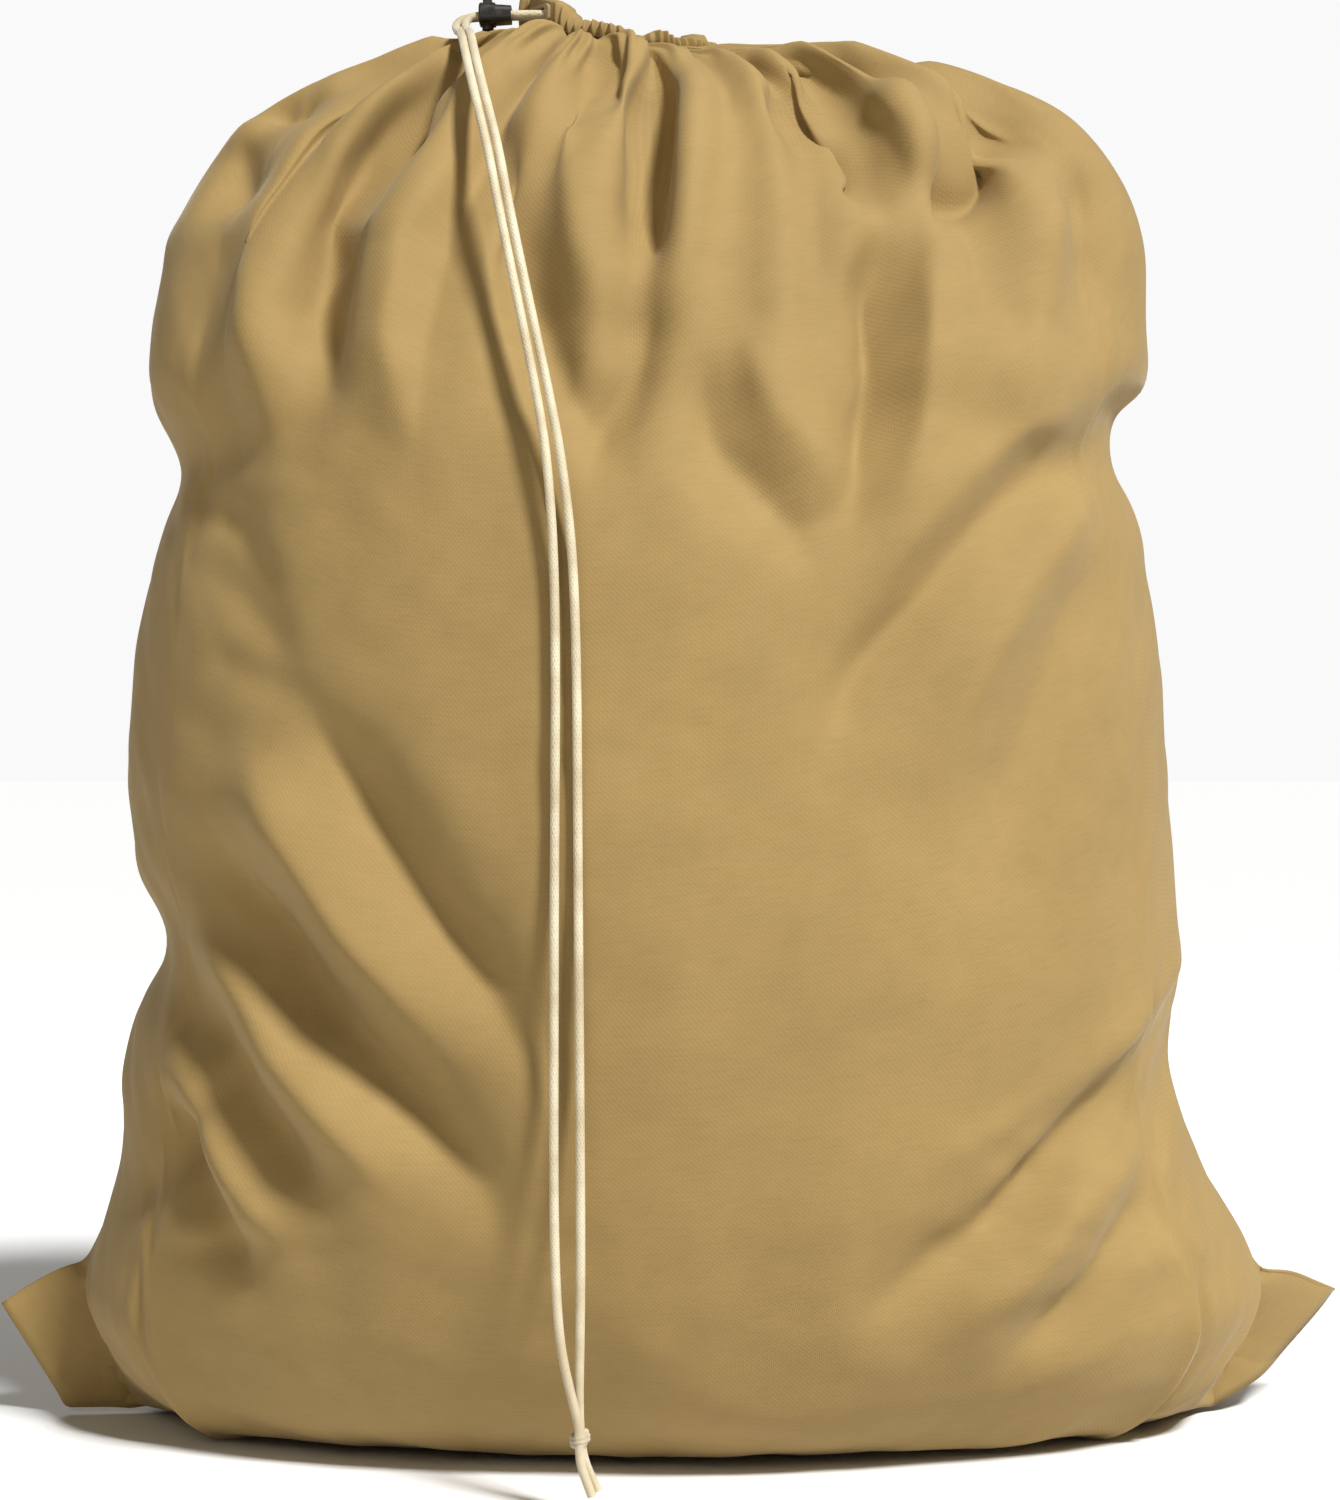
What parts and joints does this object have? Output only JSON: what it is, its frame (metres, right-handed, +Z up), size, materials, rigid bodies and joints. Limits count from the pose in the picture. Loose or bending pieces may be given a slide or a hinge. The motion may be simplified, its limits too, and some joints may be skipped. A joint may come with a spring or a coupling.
{
  "type": "drawstring laundry bag",
  "caption": "Stuffed canvas drawstring bag standing on its base, mouth drawn shut by a braided cord that runs through a spring cord lock and hangs down the front to a knot.",
  "frame": {"origin": "on the floor, at the centre of the bag's footprint box, without the free drawcord", "axes": "+Z up, +X to the right seen from the front, +Y to the back; the drawcord hangs on the -Y side"},
  "size_m": [0.704, 0.4166, 0.7452],
  "materials": {
    "canvas": "satin",
    "thread": "matte",
    "cord": "matte",
    "lock_plastic": "satin",
    "spring_steel": "satin",
    "laundry": "matte"
  },
  "bodies": {
    "bag": {"front_panel": "canvas", "back_panel": "canvas", "front_hem": "canvas", "back_hem": "canvas", "buttonhole_binding": "canvas", "left_side_seam": "canvas", "right_side_seam": "canvas", "bottom_seam": "canvas", "hem_stitching": "thread", "laundry_load": "laundry", "drawcord_loop": "cord", "drawcord_strand_left": "cord", "drawcord_strand_right": "cord", "drawcord_knot": "cord", "drawcord_tail_front": "cord", "drawcord_tail_back": "cord"},
    "cord_lock": {"cord_lock_body": "lock_plastic", "cord_lock_spring": "spring_steel"},
    "lock_plunger": {"cord_lock_plunger": "lock_plastic"}
  },
  "joints": [
    {"name": "lock_slide", "type": "slide", "parent": "bag", "child": "cord_lock", "axis": [1, 0, 0], "range_m": [0, 0.0075]},
    {"name": "plunger_press", "type": "slide", "parent": "cord_lock", "child": "lock_plunger", "axis": [0, 0, -1], "range_m": [0, 0.0012], "stiffness_N_per_m": 500, "springref_m": -0.002, "deforming": ["cord_lock_spring"]}
  ]
}
